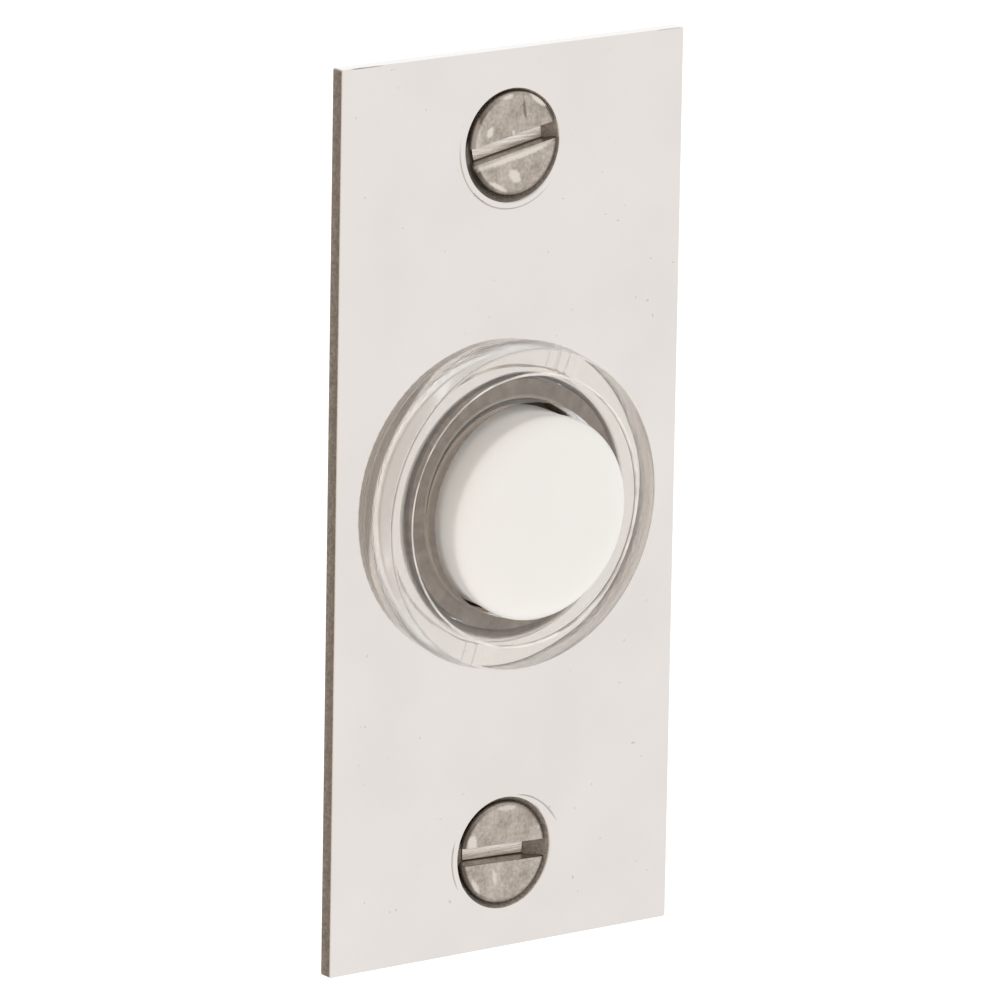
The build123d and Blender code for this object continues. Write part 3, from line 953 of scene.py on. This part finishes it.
def cut_slot(piece, screw):
    """Cut the driver slot across a head, filled at its lower corner and bent down at a burred lower lip."""
    angle, width, depth = screw["slot"]
    half = width / 2
    lip = -half - screw["burr"]
    section = [(half, -SLOT_OVERRUN), (half, depth)]
    # the lower corner is filled, and its faces carry painted shade
    section += [(SHADED_CORNER_FILL - half, depth), (-half, depth - SHADED_CORNER_FILL)]
    section += [(-half, BURR_DEPTH), (lip, -BURR_RISE), (lip, -SLOT_OVERRUN)]
    bm = bmesh.new()
    ends = []
    for x in (-1.5 * HEAD_RADIUS, 1.5 * HEAD_RADIUS):
        ends.append([bm.verts.new((x, y, z)) for z, y in section])
    strips(bm, ends)
    for end in ends:
        bm.faces.new(end)
    turn = Matrix.Rotation(math.radians(-angle), 3, "Y")
    bmesh.ops.rotate(bm, cent=(0, 0, 0), matrix=turn, verts=bm.verts)
    cutter = close_mesh(bm, "slot_cutter")
    slot = piece.modifiers.new("slot", "BOOLEAN")
    slot.object = cutter
    slot.solver = "EXACT"
    depsgraph = bpy.context.evaluated_depsgraph_get()
    mesh = bpy.data.meshes.new_from_object(piece.evaluated_get(depsgraph))
    piece.modifiers.clear()
    piece.data = mesh
    bpy.data.objects.remove(cutter)


def mark_value(spot, marks, seed):
    """Strength of the marks at a spot on a head, above nought if bright, with ragged edges."""
    ragged = MARK_RAGGED * noise.noise(Vector((spot.x * MARK_GRAIN, seed, spot.z * MARK_GRAIN)))
    value = 0.0
    for x, z, length, width, angle, weight in marks:
        turn = math.radians(angle)
        across = spot.x - x
        up = spot.z - z
        along = (across * math.cos(turn) + up * math.sin(turn)) / length
        aside = (up * math.cos(turn) - across * math.sin(turn)) / width
        inside = MARK_SPREAD - math.hypot(along, aside) + ragged
        value += weight * min(1.0, max(0.0, inside * MARK_EDGE))
    return value


def knock_and_highlight(piece, marks, seed):
    """Press unevenness, knocks and scratches on a head, the marks kept on the mesh for its finish too,
    where the bright ones are also painted highlights.
    """
    strength = []
    for vertex in piece.data.vertices:
        spot = vertex.co / MM
        value = mark_value(spot, marks, seed) if spot.y < MARK_LEVEL else 0.0
        if spot.y < HEAD_LEVEL:
            uneven = HEAD_UNEVEN * noise.noise(spot * HEAD_GRAIN + Vector((seed, 0, 0)))
            pressed = SCRATCH_DEPTH * max(-value, 0.0) - KNOCK_RISE * max(value, 0.0)
            vertex.co.y += (uneven + pressed) * MM
        strength.append(max(-1.0, min(1.0, value)))
    layer = piece.data.attributes.new("mark", "FLOAT", "POINT")
    layer.data.foreach_set("value", strength)


def tag_slot(piece):
    """Keep on the mesh which faces are the slot's sawn floor, and which the fill in its lower corner, which
    is painted dark as shade.
    """
    faces = piece.data.polygons
    sawn = [face.normal.y < FLOOR_FACING and face.center.y > FLOOR_DEPTH * MM for face in faces]
    low, high = [depth * MM for depth in SHADED_CORNER_DEPTHS]
    slanted = [FLOOR_FACING < face.normal.y < SHADED_CORNER_FACING for face in faces]
    corner_shade = [slant and low < face.center.y < high for slant, face in zip(slanted, faces)]
    for name, tags in (("sawn", sawn), ("corner_shade", corner_shade)):
        layer = piece.data.attributes.new(name, "FLOAT", "FACE")
        layer.data.foreach_set("value", [float(tag) for tag in tags])


def coil_spring():
    """Coil spring with its end coils closed up, between the cap and the housing."""
    low = SPRING_FRONT + SPRING_WIRE
    high = SPRING_BACK - SPRING_WIRE
    bm = bmesh.new()
    rings = []
    for step in range(SPRING_STEPS + 1):
        coil = SPRING_COILS * step / SPRING_STEPS
        angle = math.tau * coil
        rise = min(1.0, max(0.0, (coil - SPRING_CLOSED) / (SPRING_COILS - 2 * SPRING_CLOSED)))
        level = low + (high - low) * rise
        ring = []
        for side in even_angles(WIRE_SIDES):
            radius = SPRING_RADIUS + SPRING_WIRE * math.cos(side)
            y = level + SPRING_WIRE * math.sin(side)
            ring.append(bm.verts.new((radius * math.cos(angle), y, radius * math.sin(angle))))
        rings.append(ring)
    strips(bm, rings)
    bm.faces.new(rings[0])
    bm.faces.new(rings[-1])
    spring = close_mesh(bm, "coil_spring")
    smooth(spring)
    return spring


def floor():
    """Wide pale floor below the push."""
    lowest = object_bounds()[0].z - FLOOR_DROP * MM
    bm = bmesh.new()
    bmesh.ops.create_grid(bm, x_segments=8, y_segments=8, size=FLOOR_REACH)
    piece = close_mesh(bm, "floor")
    piece.location.z = lowest
    piece.visible_glossy = False
    piece.visible_transmission = False
    piece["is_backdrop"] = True
    return piece


def studio():
    """Even white surroundings, warmer to the left and dark behind there, as the metal's edges show."""
    scene = bpy.context.scene
    scene.world = bpy.data.worlds.new("studio")
    scene.world.use_nodes = True
    tree = scene.world.node_tree
    direction = add(tree, "ShaderNodeTexCoord").outputs["Generated"]
    facing = measure(tree, "DOT_PRODUCT", "Value", direction, Vector(DARK_SIDE).normalized())
    across = add(tree, "ShaderNodeSeparateXYZ", {0: direction}).outputs["X"]
    left = remap(tree, across, 0.3, -1.0, 0.0, 1.0)
    colour = tint(tree, left, (1.0, 1.0, 1.0), (0.90, 0.81, 0.73))
    shade = remap(tree, facing, 0.45, 0.95, 0.0, 1.0)
    colour = tint(tree, shade, colour, (0.26, 0.235, 0.215))
    tree.links.new(colour, tree.nodes["Background"].inputs["Color"])
    scene.view_settings.view_transform = "Standard"
    scene.cycles.max_bounces = 24
    scene.cycles.glossy_bounces = 12
    scene.cycles.transmission_bounces = 24


def camera():
    """Camera where the photograph was taken from."""
    azimuth = math.radians(CAMERA_AZIMUTH)
    elevation = math.radians(CAMERA_ELEVATION)
    level = Vector((math.cos(azimuth), math.sin(azimuth), 0))
    outward = Vector((math.sin(azimuth), -math.cos(azimuth), 0))
    back = outward * math.cos(elevation) + Vector((0, 0, math.sin(elevation)))
    right = Matrix.Rotation(math.radians(CAMERA_ROLL), 3, back) @ level
    up = back.cross(right)
    data = bpy.data.cameras.new("camera")
    data.lens = CAMERA_LENS
    data.sensor_width = CAMERA_SENSOR
    data.clip_start = 0.01
    data.clip_end = 100.0
    body = bpy.data.objects.new("camera", data)
    offset = back * CAMERA_DISTANCE + right * CAMERA_ASIDE[0] + up * CAMERA_ASIDE[1]
    spot = Vector((0, PLATE_FRONT, 0)) + offset
    body.matrix_world = Matrix.Translation(spot * MM) @ Matrix((right, up, back)).transposed().to_4x4()
    bpy.context.scene.collection.objects.link(body)
    bpy.context.scene.camera = body


for leftover in list(bpy.data.objects):
    bpy.data.objects.remove(leftover)
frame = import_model()
nodes = frame["nodes"]

steel = screw_steel()
brass = drawn_metal("brass_finish", (0.52, 0.36, 0.15), (0.72, 0.53, 0.25), (1, 1, 20), 0.24, 0.4)
bronze = drawn_metal("bronze_finish", (0.45, 0.27, 0.14), (0.62, 0.40, 0.22), (20, 1, 1), 0.25, 0.38)
dark_steel = drawn_metal(
    "spring_steel_finish", (0.30, 0.29, 0.28), (0.46, 0.45, 0.44), (1, 20, 1), 0.25, 0.4
)
finishes = {
    "switch_housing": housing_phenolic(),
    "retaining_ring": dark_steel,
    "contact_bridge": bronze,
    "stem_clip": dark_steel,
    "contact_left": brass,
    "contact_right": brass,
    "rear_cover": phenolic("black_phenolic_finish", (0.012, 0.011, 0.010), (0.035, 0.031, 0.028)),
    "cover_screws": steel,
    "terminal_screws": brass,
    "terminal_clamps": brass,
}
for node, finish in finishes.items():
    nodes[node].data.materials.clear()
    nodes[node].data.materials.append(finish)

plate = nickel_plate()
ring = clear_ring()
button = white_button()
upper_screw = wood_screw("upper_screw", UPPER, UPPER_MARKS)
lower_screw = wood_screw("lower_screw", LOWER, LOWER_MARKS)
spring = coil_spring()
built = [
    (plate, "plate_and_switch", "face_plate", nickel(), "polished_nickel"),
    (ring, "plate_and_switch", "lens_ring", clear_plastic(), "clear_plastic"),
    (button, "button", "push_button", white_plastic(), "white_plastic"),
    (upper_screw, "plate_and_switch", "mounting_screws", steel, "plated_steel"),
    (lower_screw, "plate_and_switch", "mounting_screws", steel, "plated_steel"),
    (spring, "plate_and_switch", "return_spring", dark_steel, "spring_steel"),
]
for piece, body, node, finish, slot in built:
    piece.data.materials.append(finish)
    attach(piece, body)
    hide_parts(node)
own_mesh(spring)

floor().data.materials.append(floor_white())
studio()
camera()
